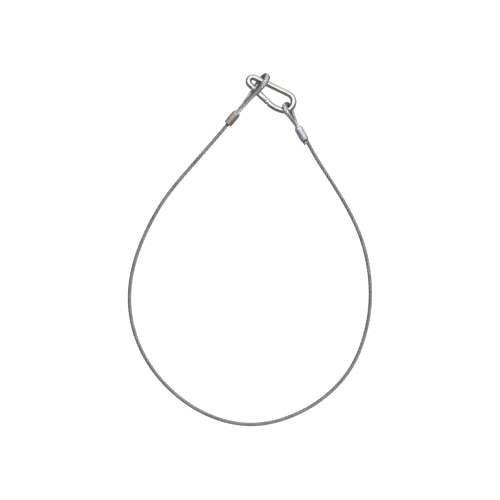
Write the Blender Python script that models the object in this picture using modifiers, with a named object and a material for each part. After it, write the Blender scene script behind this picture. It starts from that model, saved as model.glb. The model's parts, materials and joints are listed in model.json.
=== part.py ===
"""A wire rope safety sling, lying flat: a rope with a thimble eye at each end, both eyes on one spring snap hook.

Metres, +Z up, floor at z = 0. The origin is under the middle of the eyes and the hook, on the floor.
Each eye stands on its edge. Its empty has +X along the eye, from the ferrule's mouth to the crown, and +Y across
the eye. The hook's empty has +X from its small end to its wide end, and the gate's empty sits on the gate's rivet.
"""

import math

import bmesh
import bpy
import numpy as np
from mathutils import Matrix, Vector

MM = 0.001
GAP = 0.3 * MM
RUNNING_GAP = 0.08 * MM
CUTTER_REACH = 5.0 * MM

# rope
ROPE_RADIUS = 2.0 * MM
ROPE_FLOOR_HEIGHT = ROPE_RADIUS + 0.02 * MM
ROPE_POINTS = 78
MOUTH_GAP = 0.7 * MM

# pressed ferrule, the same at both eyes
FERRULE_LENGTH = 16.0 * MM
FERRULE_RADIUS = 4.5 * MM
FERRULE_CHAMFER = 0.9 * MM
FERRULE_TAPER = 2.0 * MM
FERRULE_END_DROP = 0.3 * MM
FERRULE_MOUTH_DROP = 0.45 * MM
FERRULE_SIDES = 24
LEG_OFFSET = 2.15 * MM
TAIL_LENGTH = 4.0 * MM
MOUTH_STRAIGHT = 0.35
CROWN_STRAIGHT = 0.5
CROWN_STEP = 2.6 * MM

# thimble, a channel bent round the eye
THIMBLE_WALL = 0.65 * MM
THIMBLE_FLANGE = 0.4 * MM
THIMBLE_TIP_SPACE = 0.5 * MM
THIMBLE_TIP_REACH = 15.0 * MM
LEG_SLOPE = math.radians(14.0)

# snap hook of bent wire, 60 mm long
WIRE_RADIUS = 3.2 * MM
SMALL_END = Vector((7.65 * MM, -0.3 * MM))
SMALL_END_RADIUS = 4.6 * MM
WIDE_END = Vector((47.4 * MM, -4.55 * MM))
WIDE_END_RADIUS = 9.3 * MM
NOSE_ARC_RADIUS = 31.25 * MM
NOSE_ARC_START = math.radians(-75.0)
GATE_SLOPE = math.radians(-18.0)
RIVET_FROM_SMALL_END = 7.5 * MM
HOOK_ARC_STEP = 1.6 * MM

# gate, along its own +X from the rivet to the nose
GATE_RADIUS = 3.4 * MM
GATE_HALF_WIDTH = 3.3 * MM
GATE_TIP_CHAMFER = 0.5 * MM
GATE_TIP = 19.4 * MM
NOSE_FACE = 19.8 * MM
TANG_END = 3.0 * MM
TANG_HALF_WIDTH = 2.2 * MM
TANG_HALF_THICKNESS = 1.25 * MM
TANG_ROOT = -3.8 * MM
TANG_CHAMFER = 0.6 * MM
FLAT_OVERLAP = 1.5 * MM
FORK_HALF_SLOT = 1.6 * MM
FORK_FLOOR = 5.2 * MM
BORE_RADIUS = 1.5 * MM
BORE_FLOOR = 12.2 * MM
NOSE_SLOT_FLOOR = 13.4 * MM
RIVET_RADIUS = 1.2 * MM
RIVET_HALF_LENGTH = 3.1 * MM
PIN_RADIUS = 0.8 * MM
PIN_HALF_LENGTH = 3.2 * MM
PIN_PLACE = 16.6 * MM
NOSE_TAB_START = 14.3 * MM
NOSE_TAB_HALF_WIDTH = 2.1 * MM
NOSE_TAB_HALF_THICKNESS = 1.15 * MM

# spring and plunger in the gate's bore
PLUNGER_RADIUS = 1.42 * MM
PLUNGER_START = TANG_END + GAP
PLUNGER_END = 7.0 * MM
SPRING_WIRE_RADIUS = 0.18 * MM
SPRING_COIL_RADIUS = 1.15 * MM
SPRING_TURNS = 5
SPRING_POINTS_PER_TURN = 12

# where the eyes and the hook lie: place of each ferrule's mouth, heading, rise and turn about the eye's axis
FERRULE_DROP = 0.02 * MM
CROWN_LIFT = 0.3 * MM
LEFT_MOUTH = Vector((-41.4 * MM, -16.8 * MM))
LEFT_HEADING = math.radians(50.2)
LEFT_LENGTH = 68.7 * MM
LEFT_CROWN_RADIUS = 10.9 * MM
LEFT_TURN = math.radians(16.0)
RIGHT_MOUTH = Vector((40.5 * MM, -33.8 * MM))
RIGHT_HEADING = math.radians(119.2)
RIGHT_LENGTH = 45.8 * MM
RIGHT_CROWN_RADIUS = 8.4 * MM
RIGHT_TURN = math.radians(-20.0)
RIGHT_MOUTH_TURN = math.radians(-45.0)
HOOK_PLACE = Vector((-21.5 * MM, 31.4 * MM, 11.7 * MM))
HOOK_HEADING = math.radians(-26.3)
HOOK_DIP = math.radians(1.0)
HOOK_SWING_AT = math.radians(-39.0)

# middle of the eyes and hook, moved to the origin
MIDDLE = Vector((-0.23 * MM, -1.39 * MM, 0.0))

# the free rope's route on the floor, from the left ferrule to the right one, in millimetres
ROUTE_MM = (
    (-52.4, -29.8), (-67.2, -46.8), (-82.1, -63.8), (-109.5, -97.9), (-128.5, -131.9), (-141.1, -166.0),
    (-145.9, -200.0), (-141.7, -234.1), (-127.3, -268.1), (-98.8, -302.2), (-64.1, -325.0), (-13.0, -335.9),
    (21.0, -329.0), (55.1, -311.4), (88.9, -276.6), (103.7, -242.6), (109.8, -208.5), (108.8, -174.5),
    (101.1, -140.4), (85.9, -106.4), (65.3, -72.4), (50.0, -48.0),
)

# colour, metallic, roughness
FINISHES = {
    "wire_rope": ((0.42, 0.42, 0.43), 1.0, 0.45),
    "rope_tail": ((0.36, 0.36, 0.37), 1.0, 0.5),
    "eye_rope_left": ((0.42, 0.42, 0.43), 1.0, 0.45),
    "eye_rope_right": ((0.42, 0.42, 0.43), 1.0, 0.45),
    "thimble_left": ((0.66, 0.70, 0.75), 1.0, 0.3),
    "thimble_right": ((0.66, 0.70, 0.75), 1.0, 0.3),
    "ferrule_left": ((0.60, 0.57, 0.55), 1.0, 0.4),
    "ferrule_right": ((0.66, 0.66, 0.69), 1.0, 0.4),
    "hook_body": ((0.62, 0.62, 0.60), 1.0, 0.18),
    "gate": ((0.66, 0.66, 0.64), 1.0, 0.2),
    "gate_rivet": ((0.55, 0.55, 0.55), 1.0, 0.3),
    "latch_pin": ((0.45, 0.45, 0.45), 1.0, 0.35),
    "gate_plunger": ((0.5, 0.5, 0.5), 1.0, 0.4),
    "gate_spring": ((0.4, 0.4, 0.42), 1.0, 0.35),
}

PARTS = bpy.data.collections.new("thimble_eye_sling")
CUTTERS = bpy.data.collections.new("cutters")


def clear_scene():
    """Removes what the scene starts with."""
    for thing in list(bpy.data.objects):
        bpy.data.objects.remove(thing, do_unlink=True)


def make_finish(name):
    """The Principled material of a part."""
    colour, metallic, roughness = FINISHES[name]
    finish = bpy.data.materials.new(name)
    finish.use_nodes = True
    shader = finish.node_tree.nodes["Principled BSDF"]
    shader.inputs["Base Color"].default_value = (*colour, 1.0)
    shader.inputs["Metallic"].default_value = metallic
    shader.inputs["Roughness"].default_value = roughness
    return finish


def add_part(name, data, parent):
    """A named part from a mesh or a curve, placed by its parent."""
    part = bpy.data.objects.new(name, data)
    PARTS.objects.link(part)
    part.parent = parent
    data.materials.append(make_finish(name))
    return part


def add_frame(name, matrix, parent=None):
    """An empty that others are parented to."""
    frame = bpy.data.objects.new(name, None)
    frame.empty_display_size = 5 * MM
    PARTS.objects.link(frame)
    frame.parent = parent
    frame.matrix_basis = matrix
    return frame


def add_cutter(mesh, parent):
    """A hidden mesh that a Boolean uses."""
    cutter = bpy.data.objects.new("cutter", mesh)
    CUTTERS.objects.link(cutter)
    cutter.parent = parent
    cutter.hide_render = True
    cutter.display_type = "WIRE"
    return cutter


def combine(part, mesh, operation, frame=None):
    """Adds a Boolean of a mesh, which lies in the part's frame or in another one."""
    modifier = part.modifiers.new(operation.lower(), "BOOLEAN")
    modifier.operation = operation
    modifier.solver = "EXACT"
    modifier.object = add_cutter(mesh, frame or part.parent)


def box_mesh(low, high):
    """A box between two corners."""
    size = Vector(high) - Vector(low)
    middle = (Vector(high) + Vector(low)) / 2
    shape = bmesh.new()
    bmesh.ops.create_cube(shape, size=1.0, matrix=Matrix.LocRotScale(middle, None, size))
    return finished_mesh(shape, "box")


def rod_mesh(start, end, radius, sides=20, turn=0.0):
    """A round rod between two points."""
    along = Vector(end) - Vector(start)
    facing = along.to_track_quat("Z", "Y").to_matrix().to_4x4()
    place = Matrix.Translation((Vector(start) + Vector(end)) / 2)
    shape = bmesh.new()
    bmesh.ops.create_cone(
        shape, cap_ends=True, segments=sides, radius1=radius, radius2=radius, depth=along.length,
        matrix=place @ facing @ Matrix.Rotation(turn, 4, "Z"),
    )
    return finished_mesh(shape, "rod")


def plate_mesh(outline, half_thickness):
    """A flat plate: an outline in XY, drawn anticlockwise, pushed to both sides of it."""
    shape = bmesh.new()
    corners = [shape.verts.new((x, y, -half_thickness)) for x, y in outline]
    face = shape.faces.new(corners)
    pushed = bmesh.ops.extrude_face_region(shape, geom=[face])
    moved = [item for item in pushed["geom"] if isinstance(item, bmesh.types.BMVert)]
    bmesh.ops.translate(shape, verts=moved, vec=(0, 0, 2 * half_thickness))
    bmesh.ops.recalc_face_normals(shape, faces=shape.faces)
    return finished_mesh(shape, "plate")


def finished_mesh(shape, name):
    """A mesh from a bmesh, which is then freed."""
    mesh = bpy.data.meshes.new(name)
    shape.to_mesh(mesh)
    shape.free()
    return mesh


def tube_curve(name, points, radius, resolution=2):
    """A wire or rope along points, with filled ends."""
    curve = bpy.data.curves.new(name, "CURVE")
    curve.dimensions = "3D"
    curve.bevel_depth = radius
    curve.bevel_resolution = resolution
    curve.use_fill_caps = True
    line = curve.splines.new("POLY")
    line.points.add(len(points) - 1)
    for slot, point in zip(line.points, points):
        slot.co = (*Vector(point).to_3d(), 1.0)
    return curve


def curve_to_mesh(curve, name):
    """The closed mesh of a bevelled curve."""
    source = bpy.data.objects.new(name, curve)
    CUTTERS.objects.link(source)
    evaluated = source.evaluated_get(bpy.context.evaluated_depsgraph_get())
    mesh = bpy.data.meshes.new_from_object(evaluated)
    bpy.data.objects.remove(source, do_unlink=True)
    bpy.data.curves.remove(curve)
    shape = bmesh.new()
    shape.from_mesh(mesh)
    bmesh.ops.remove_doubles(shape, verts=shape.verts, dist=0.005 * MM)
    bmesh.ops.recalc_face_normals(shape, faces=shape.faces)
    shape.to_mesh(mesh)
    shape.free()
    return mesh


def arc(middle, radius, start, end, step):
    """Points on an arc in XY, about step apart."""
    count = max(3, math.ceil(abs(end - start) * radius / step) + 1)
    angles = np.linspace(start, end, count)
    return [Vector((middle.x + radius * math.cos(a), middle.y + radius * math.sin(a))) for a in angles]


def smooth_points(route, count):
    """Evenly spaced points on the natural cubic spline through a route."""
    route = np.array(route, dtype=float)
    knots = np.concatenate([[0.0], np.cumsum(np.linalg.norm(np.diff(route, axis=0), axis=1))])
    steps = np.diff(knots)
    size = len(route)
    matrix = np.eye(size)
    right = np.zeros_like(route)
    for i in range(1, size - 1):
        matrix[i, i - 1 : i + 2] = steps[i - 1], 2 * (steps[i - 1] + steps[i]), steps[i]
        slopes = (route[i + 1] - route[i]) / steps[i] - (route[i] - route[i - 1]) / steps[i - 1]
        right[i] = 6 * slopes
    bends = np.linalg.solve(matrix, right)
    fine = np.linspace(0.0, knots[-1], 40 * size)
    span = np.clip(np.searchsorted(knots, fine, side="right") - 1, 0, size - 2)
    width = steps[span][:, None]
    after = (fine[:, None] - knots[span][:, None]) / width
    before = 1.0 - after
    curve = before * route[span] + after * route[span + 1]
    curve += ((before**3 - before) * bends[span] + (after**3 - after) * bends[span + 1]) * width**2 / 6
    walked = np.concatenate([[0.0], np.cumsum(np.linalg.norm(np.diff(curve, axis=0), axis=1))])
    even = np.linspace(0.0, walked[-1], count)
    return np.column_stack([np.interp(even, walked, curve[:, axis]) for axis in range(3)])


def eye_matrix(mouth, heading, rise, turn):
    """Frame of an eye: +X towards the crown, +Y up across the eye, turned about +X."""
    along = Vector((math.cos(heading) * math.cos(rise), math.sin(heading) * math.cos(rise), math.sin(rise)))
    side = along.cross(Vector((0, 0, 1))).normalized()
    up = side.cross(along)
    across = up * math.cos(turn) + side * math.sin(turn)
    facing = along.cross(across)
    matrix = Matrix((along, across, facing)).transposed().to_4x4()
    height = FERRULE_RADIUS * math.cos(rise) + FERRULE_DROP
    matrix.translation = Vector((mouth.x, mouth.y, height)) - MIDDLE
    return matrix


def eye_rise(length, crown_radius):
    """Angle at which an eye rises from its ferrule's mouth so that its crown stands on the floor."""
    half_height = crown_radius + ROPE_RADIUS
    return math.asin((half_height - FERRULE_RADIUS + CROWN_LIFT) / (length - half_height))


def leg_points(length, crown_radius, count):
    """One leg of the eye's rope, from the ferrule to where it meets the crown's arc."""
    middle = length - crown_radius - ROPE_RADIUS
    start = Vector((FERRULE_LENGTH + GAP, LEG_OFFSET))
    end = Vector((middle - crown_radius * math.sin(LEG_SLOPE), crown_radius * math.cos(LEG_SLOPE)))
    reach = (end - start).length
    first = start + Vector((MOUTH_STRAIGHT * reach, 0.0))
    second = end - Vector((math.cos(LEG_SLOPE), math.sin(LEG_SLOPE))) * CROWN_STRAIGHT * reach
    points = []
    for t in np.linspace(0.0, 1.0, count):
        s = 1.0 - t
        points.append(start * s**3 + first * 3 * s * s * t + second * 3 * s * t * t + end * t**3)
    return points


def eye_path(length, crown_radius):
    """The rope's centreline round an eye, from one leg's end to the other's, in the eye's XY."""
    leg = leg_points(length, crown_radius, 11)
    middle = Vector((length - crown_radius - ROPE_RADIUS, 0.0))
    top = math.pi / 2 + LEG_SLOPE
    crown = arc(middle, crown_radius, top, -top, CROWN_STEP)
    back = [Vector((p.x, -p.y)) for p in reversed(leg)]
    return leg[:-1] + crown + back[1:]


def thimble_path(path):
    """The part of the eye's centreline that its thimble lines, up to where the channel's two ends nearly meet."""
    least = ROPE_RADIUS + GAP + THIMBLE_WALL + THIMBLE_TIP_SPACE
    return [point for point in path if abs(point.y) > least or point.x > path[0].x + THIMBLE_TIP_REACH]


def channel_outline():
    """Section of the thimble's channel: open side along -X, closed by the floor on +X."""
    inner = ROPE_RADIUS + GAP
    outer = inner + THIMBLE_WALL
    floor = [(outer * math.cos(a), outer * math.sin(a)) for a in np.linspace(-math.pi / 2, math.pi / 2, 9)]
    groove = [(inner * math.cos(a), inner * math.sin(a)) for a in np.linspace(math.pi / 2, -math.pi / 2, 9)]
    lips = [(-THIMBLE_FLANGE, outer), (-THIMBLE_FLANGE, inner)]
    return floor + lips + groove + [(x, -y) for x, y in reversed(lips)]


def sweep_channel(path):
    """The thimble's channel swept round the eye, its floor towards the eye's inside."""
    outline = channel_outline()
    shape = bmesh.new()
    rings = []
    for index, point in enumerate(path):
        ahead = path[min(index + 1, len(path) - 1)]
        behind = path[max(index - 1, 0)]
        along = (ahead - behind).normalized()
        inward = Vector((along.y, -along.x, 0.0))
        ring = [point.to_3d() + inward * x + Vector((0, 0, y)) for x, y in outline]
        rings.append([shape.verts.new(co) for co in ring])
    size = len(outline)
    for ring, after in zip(rings, rings[1:]):
        for k in range(size):
            shape.faces.new((ring[k], ring[(k + 1) % size], after[(k + 1) % size], after[k]))
    shape.faces.new(rings[0])
    shape.faces.new(list(reversed(rings[-1])))
    bmesh.ops.recalc_face_normals(shape, faces=shape.faces)
    return finished_mesh(shape, "channel")


def make_ferrule(name, frame):
    """A pressed sleeve: a turned profile about the eye's axis."""
    profile = (
        (0.0, FERRULE_LENGTH), (FERRULE_RADIUS - FERRULE_END_DROP, FERRULE_LENGTH),
        (FERRULE_RADIUS, FERRULE_LENGTH - FERRULE_TAPER), (FERRULE_RADIUS, FERRULE_CHAMFER),
        (FERRULE_RADIUS - FERRULE_MOUTH_DROP, 0.0), (0.0, 0.0),
    )
    mesh = bpy.data.meshes.new(name)
    mesh.from_pydata([(radius, 0.0, height) for radius, height in profile], [(i, i + 1) for i in range(5)], [])
    ferrule = add_part(name, mesh, frame)
    ferrule.rotation_euler = (0.0, math.pi / 2, 0.0)
    screw = ferrule.modifiers.new("turn", "SCREW")
    screw.steps = FERRULE_SIDES
    screw.render_steps = FERRULE_SIDES
    screw.use_merge_vertices = True
    screw.merge_threshold = 0.00001
    return ferrule


def make_eye(side, mouth, heading, length, crown_radius, turn):
    """A thimble eye: its thimble, the rope round it and its ferrule. Returns its frame."""
    rise = eye_rise(length, crown_radius)
    frame = add_frame(f"eye_{side}", eye_matrix(mouth, heading, rise, turn))
    path = eye_path(length, crown_radius)
    add_part(f"thimble_{side}", sweep_channel(thimble_path(path)), frame)
    add_part(f"eye_rope_{side}", tube_curve(f"eye_rope_{side}", path, ROPE_RADIUS, 3), frame)
    make_ferrule(f"ferrule_{side}", frame)
    return frame


def mouth_point(frame, turn, side):
    """Where a rope leaves a ferrule's mouth: to one side of its axis, turned about it from +Y."""
    reach = LEG_OFFSET * side
    return frame.matrix_basis @ Vector((0.0, reach * math.cos(turn), reach * math.sin(turn)))


def make_free_rope(left, right):
    """The rope's free run on the floor, from ferrule to ferrule, and the short cut end beside it."""
    start = mouth_point(left, -LEFT_TURN, -1)
    out = (left.matrix_basis.to_3x3() @ Vector((-1, 0, 0))).to_2d().normalized().to_3d()
    start = Vector((start.x, start.y, max(start.z, ROPE_FLOOR_HEIGHT))) + out * MOUTH_GAP
    end = mouth_point(right, RIGHT_MOUTH_TURN - RIGHT_TURN, -1)
    back = (right.matrix_basis.to_3x3() @ Vector((-1, 0, 0))).to_2d().normalized().to_3d()
    end = Vector((end.x, end.y, max(end.z, ROPE_FLOOR_HEIGHT))) + back * MOUTH_GAP
    floor = [Vector((x * MM, y * MM, ROPE_FLOOR_HEIGHT)) - MIDDLE.to_2d().to_3d() for x, y in ROUTE_MM]
    points = smooth_points([start, *floor, end], ROPE_POINTS)
    points[:, 2] = np.maximum(points[:, 2], ROPE_FLOOR_HEIGHT)
    add_part("wire_rope", tube_curve("wire_rope", [Vector(p) for p in points], ROPE_RADIUS), None)
    tail = Vector((0.0, LEG_OFFSET * math.cos(RIGHT_MOUTH_TURN - RIGHT_TURN),
                   LEG_OFFSET * math.sin(RIGHT_MOUTH_TURN - RIGHT_TURN)))
    cut = [tail + Vector((-GAP, 0, 0)), tail + Vector((-TAIL_LENGTH, 0, 0))]
    add_part("rope_tail", tube_curve("rope_tail", cut, ROPE_RADIUS, 3), right)


def rivet_point():
    """The gate's rivet, on the straight between the small end's arc and the nose."""
    turn = GATE_SLOPE - math.pi / 2
    leaves = SMALL_END + SMALL_END_RADIUS * Vector((math.cos(turn), math.sin(turn)))
    return leaves + RIVET_FROM_SMALL_END * Vector((math.cos(GATE_SLOPE), math.sin(GATE_SLOPE)))


def hook_path():
    """The wire's centreline in the hook's XY, from its nose round the wide end and the small end to the tang."""
    ahead = Vector((math.cos(GATE_SLOPE), math.sin(GATE_SLOPE)))
    rivet = rivet_point()
    nose_turn = GATE_SLOPE - math.pi / 2
    bulge = WIDE_END_RADIUS - NOSE_ARC_RADIUS
    nose_middle = WIDE_END + bulge * Vector((math.cos(NOSE_ARC_START), math.sin(NOSE_ARC_START)))
    path = [rivet + ahead * NOSE_FACE]
    path += arc(nose_middle, NOSE_ARC_RADIUS, nose_turn, NOSE_ARC_START, 2.5 * HOOK_ARC_STEP)
    path += arc(WIDE_END, WIDE_END_RADIUS, NOSE_ARC_START, math.pi / 2, HOOK_ARC_STEP)[1:]
    path += arc(SMALL_END, SMALL_END_RADIUS, math.pi / 2, 2 * math.pi + nose_turn, HOOK_ARC_STEP / 2)
    path.append(rivet + ahead * TANG_ROOT)
    return path


def tang_outline():
    """Flat end of the wire inside the gate's fork, in the gate's XY."""
    root = TANG_ROOT - FLAT_OVERLAP
    edge = TANG_CHAMFER
    return (
        (root, -TANG_HALF_WIDTH), (TANG_END - edge, -TANG_HALF_WIDTH), (TANG_END, -TANG_HALF_WIDTH + edge),
        (TANG_END, TANG_HALF_WIDTH - edge), (TANG_END - edge, TANG_HALF_WIDTH), (root, TANG_HALF_WIDTH),
    )


def nose_tab_outline():
    """Flat hooked tab on the nose, in the gate's XY, with the notch that the latch pin drops into."""
    slack = PIN_RADIUS + GAP
    root = NOSE_FACE + FLAT_OVERLAP
    notch = [
        (PIN_PLACE + slack * math.cos(a), slack * math.sin(a)) for a in np.linspace(0.0, -math.pi, 9)
    ]
    return [
        (NOSE_TAB_START, -NOSE_TAB_HALF_WIDTH), (root, -NOSE_TAB_HALF_WIDTH), (root, NOSE_TAB_HALF_WIDTH),
        (PIN_PLACE + slack, NOSE_TAB_HALF_WIDTH), *notch, (PIN_PLACE - slack, NOSE_TAB_HALF_WIDTH),
        (NOSE_TAB_START, NOSE_TAB_HALF_WIDTH),
    ]


def make_hook(hook_frame, gate_frame):
    """The bent wire, with its tang and its nose tab."""
    mesh = curve_to_mesh(tube_curve("hook_wire", hook_path(), WIRE_RADIUS, 4), "hook_wire")
    body = add_part("hook_body", mesh, hook_frame)
    combine(body, plate_mesh(tang_outline(), TANG_HALF_THICKNESS), "UNION", gate_frame)
    combine(body, plate_mesh(nose_tab_outline(), NOSE_TAB_HALF_THICKNESS), "UNION", gate_frame)
    hole = rod_mesh((0, 0, -CUTTER_REACH), (0, 0, CUTTER_REACH), RIVET_RADIUS + RUNNING_GAP, 24)
    combine(body, hole, "DIFFERENCE", gate_frame)
    return body


def gate_outline():
    """The gate seen from above: round about the rivet, with a chamfered tip."""
    edge = GATE_TIP_CHAMFER
    rounded = [
        (GATE_HALF_WIDTH * math.cos(a), GATE_HALF_WIDTH * math.sin(a))
        for a in np.linspace(math.pi / 2, 3 * math.pi / 2, 13)
    ]
    return rounded + [
        (GATE_TIP - edge, -GATE_HALF_WIDTH), (GATE_TIP, -GATE_HALF_WIDTH + edge),
        (GATE_TIP, GATE_HALF_WIDTH - edge), (GATE_TIP - edge, GATE_HALF_WIDTH),
    ]


def make_gate(frame):
    """The gate: a rod with a fork at each end and a blind bore for the spring."""
    wide = CUTTER_REACH
    rod = rod_mesh((-wide, 0, 0), (GATE_TIP + wide, 0, 0), GATE_RADIUS, 24, math.radians(7.5))
    gate = add_part("gate", rod, frame)
    combine(gate, plate_mesh(gate_outline(), wide), "INTERSECT")
    fork = box_mesh((-wide, -wide, -FORK_HALF_SLOT), (FORK_FLOOR, wide, FORK_HALF_SLOT))
    combine(gate, fork, "DIFFERENCE")
    slot = box_mesh((NOSE_SLOT_FLOOR, -wide, -FORK_HALF_SLOT), (GATE_TIP + wide, wide, FORK_HALF_SLOT))
    combine(gate, slot, "DIFFERENCE")
    combine(gate, rod_mesh((0, 0, 0), (BORE_FLOOR, 0, 0), BORE_RADIUS, 20), "DIFFERENCE")
    rivet_hole = rod_mesh((0, 0, -wide), (0, 0, wide), RIVET_RADIUS + RUNNING_GAP, 24)
    combine(gate, rivet_hole, "DIFFERENCE")
    pin_hole = rod_mesh((PIN_PLACE, 0, -wide), (PIN_PLACE, 0, wide), PIN_RADIUS + RUNNING_GAP, 16)
    combine(gate, pin_hole, "DIFFERENCE")
    return gate


def make_pins(frame):
    """The rivet that the gate turns on, and the pin that latches on the nose."""
    rivet = rod_mesh((0, 0, -RIVET_HALF_LENGTH), (0, 0, RIVET_HALF_LENGTH), RIVET_RADIUS, 24)
    add_part("gate_rivet", rivet, frame)
    low = (PIN_PLACE, 0, -PIN_HALF_LENGTH)
    high = (PIN_PLACE, 0, PIN_HALF_LENGTH)
    add_part("latch_pin", rod_mesh(low, high, PIN_RADIUS, 16), frame)


def make_spring(frame):
    """The plunger that bears on the tang, and the coil spring behind it."""
    plunger = rod_mesh((PLUNGER_START, 0, 0), (PLUNGER_END, 0, 0), PLUNGER_RADIUS, 20)
    add_part("gate_plunger", plunger, frame)
    start = PLUNGER_END + SPRING_WIRE_RADIUS + GAP
    end = BORE_FLOOR - SPRING_WIRE_RADIUS - GAP
    count = SPRING_TURNS * SPRING_POINTS_PER_TURN
    points = []
    for index in range(count + 1):
        angle = 2 * math.pi * index / SPRING_POINTS_PER_TURN
        place = start + (end - start) * index / count
        points.append(Vector((place, SPRING_COIL_RADIUS * math.cos(angle), SPRING_COIL_RADIUS * math.sin(angle))))
    add_part("gate_spring", tube_curve("gate_spring", points, SPRING_WIRE_RADIUS), frame)


def make_snap_hook():
    """The snap hook: a swing frame where it hangs in the right eye, the hook's frame and the gate's frame."""
    turned = Matrix.Rotation(HOOK_HEADING, 4, "Z") @ Matrix.Rotation(HOOK_DIP, 4, "Y")
    placed = Matrix.Translation(HOOK_PLACE - MIDDLE) @ turned
    bearing = WIDE_END + WIDE_END_RADIUS * Vector((math.cos(HOOK_SWING_AT), math.sin(HOOK_SWING_AT)))
    swing = add_frame("hook_swing_axis", Matrix.Translation(placed @ bearing.to_3d()))
    hook_frame = add_frame("hook_frame", swing.matrix_basis.inverted() @ placed, swing)
    at_rivet = Matrix.Translation(rivet_point().to_3d()) @ Matrix.Rotation(GATE_SLOPE, 4, "Z")
    gate_frame = add_frame("gate_axis", at_rivet, hook_frame)
    make_hook(hook_frame, gate_frame)
    make_gate(gate_frame)
    make_pins(gate_frame)
    make_spring(gate_frame)


def shade_parts():
    """Shades the meshes smooth, with their edges kept sharp."""
    for part in PARTS.objects:
        if part.type == "MESH":
            part.data.shade_smooth()
            part.data.set_sharp_from_angle(angle=math.radians(35))


def main():
    """Builds the sling and its snap hook."""
    clear_scene()
    bpy.context.scene.collection.children.link(PARTS)
    bpy.context.scene.collection.children.link(CUTTERS)
    left = make_eye("left", LEFT_MOUTH, LEFT_HEADING, LEFT_LENGTH, LEFT_CROWN_RADIUS, LEFT_TURN)
    right = make_eye("right", RIGHT_MOUTH, RIGHT_HEADING, RIGHT_LENGTH, RIGHT_CROWN_RADIUS, RIGHT_TURN)
    make_free_rope(left, right)
    make_snap_hook()
    shade_parts()


main()
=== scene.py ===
"""Looks of the wire rope safety sling: two thimble eyes on one spring snap hook, lying on a pale floor.

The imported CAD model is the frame. Every rope is laid up from its strands, and every metal piece is modelled
again with finer edges where its CAD node stands. Lengths are in metres, written as millimetres times MM.
"""

import json
import logging
import math
from dataclasses import dataclass, field
from enum import Enum
from typing import Iterable, Optional, Sequence

import bpy
import numpy as np
from mathutils import Matrix, Vector


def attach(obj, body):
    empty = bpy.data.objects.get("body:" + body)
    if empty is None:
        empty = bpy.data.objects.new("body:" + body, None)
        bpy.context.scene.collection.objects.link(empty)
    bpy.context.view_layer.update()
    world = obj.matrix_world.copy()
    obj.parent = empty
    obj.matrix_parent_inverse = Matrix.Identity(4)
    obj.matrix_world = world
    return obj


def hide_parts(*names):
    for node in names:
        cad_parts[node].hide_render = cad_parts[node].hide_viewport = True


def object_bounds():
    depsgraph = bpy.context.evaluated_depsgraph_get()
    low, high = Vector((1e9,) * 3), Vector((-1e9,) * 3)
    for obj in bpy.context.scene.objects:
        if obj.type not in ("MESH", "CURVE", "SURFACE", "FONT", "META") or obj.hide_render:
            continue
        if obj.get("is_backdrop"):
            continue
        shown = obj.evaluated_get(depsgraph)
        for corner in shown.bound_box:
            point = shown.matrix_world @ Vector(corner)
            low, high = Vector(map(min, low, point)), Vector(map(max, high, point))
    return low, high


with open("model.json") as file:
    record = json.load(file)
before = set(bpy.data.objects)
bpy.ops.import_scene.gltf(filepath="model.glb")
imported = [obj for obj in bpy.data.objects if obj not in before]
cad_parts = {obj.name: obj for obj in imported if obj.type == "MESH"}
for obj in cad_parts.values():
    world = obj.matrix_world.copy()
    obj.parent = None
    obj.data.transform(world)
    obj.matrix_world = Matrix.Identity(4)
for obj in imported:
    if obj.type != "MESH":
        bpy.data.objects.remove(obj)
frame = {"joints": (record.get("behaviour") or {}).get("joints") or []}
CAD_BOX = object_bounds()

MM = 0.001
LOG = logging.getLogger("sling")
MERGE_DISTANCE = 0.002 * MM
Array = np.ndarray
Object = bpy.types.Object
Material = bpy.types.Material
Node = bpy.types.Node
Socket = bpy.types.NodeSocket
Colour = tuple[float, float, float]


# ---- Places and paths ----


@dataclass(frozen=True)
class Place:
    """A local frame in the world: an origin and three unit axes."""

    origin: Array
    along: Array
    across: Array
    facing: Array

    def world(self, points: Iterable) -> Array:
        """Local points, one a row, in world coordinates."""
        local = np.atleast_2d(np.asarray(points, dtype=float))
        return self.origin + local @ np.vstack([self.along, self.across, self.facing])

    def turn(self, vector: Sequence[float]) -> Array:
        """A local direction in world axes."""
        return np.asarray(vector, dtype=float) @ np.vstack([self.along, self.across, self.facing])

    def matrix(self) -> Matrix:
        """The same frame as a Blender matrix."""
        rows = np.column_stack([self.along, self.across, self.facing, self.origin])
        return Matrix([*rows.tolist(), [0.0, 0.0, 0.0, 1.0]])

    def inner(self, x: float, y: float, angle: float) -> "Place":
        """A frame inside this one.

        Args:
            x, y: its origin in this frame's plane.
            angle: its turn about this frame's facing axis, in radians.

        Returns:
            The inner frame.
        """
        along = self.turn((math.cos(angle), math.sin(angle), 0.0))
        across = self.turn((-math.sin(angle), math.cos(angle), 0.0))
        return Place(self.world((x, y, 0.0))[0], along, across, self.facing)


def unit(vector: Array) -> Array:
    """A vector, or each row of an array, scaled to length one."""
    size = np.linalg.norm(vector, axis=-1, keepdims=True)
    return vector / np.where(size < 1e-12, 1.0, size)


def arc(middle: Sequence[float], radius: float, start: float, end: float, step: float) -> Array:
    """Points on an arc in XY.

    Args:
        middle: the arc's middle.
        radius: its radius.
        start, end: its angles in radians.
        step: the longest distance between neighbouring points.

    Returns:
        One point a row.
    """
    count = max(3, math.ceil(abs(end - start) * radius / step) + 1)
    angles = np.linspace(start, end, count)
    return np.column_stack([middle[0] + radius * np.cos(angles), middle[1] + radius * np.sin(angles)])


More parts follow.
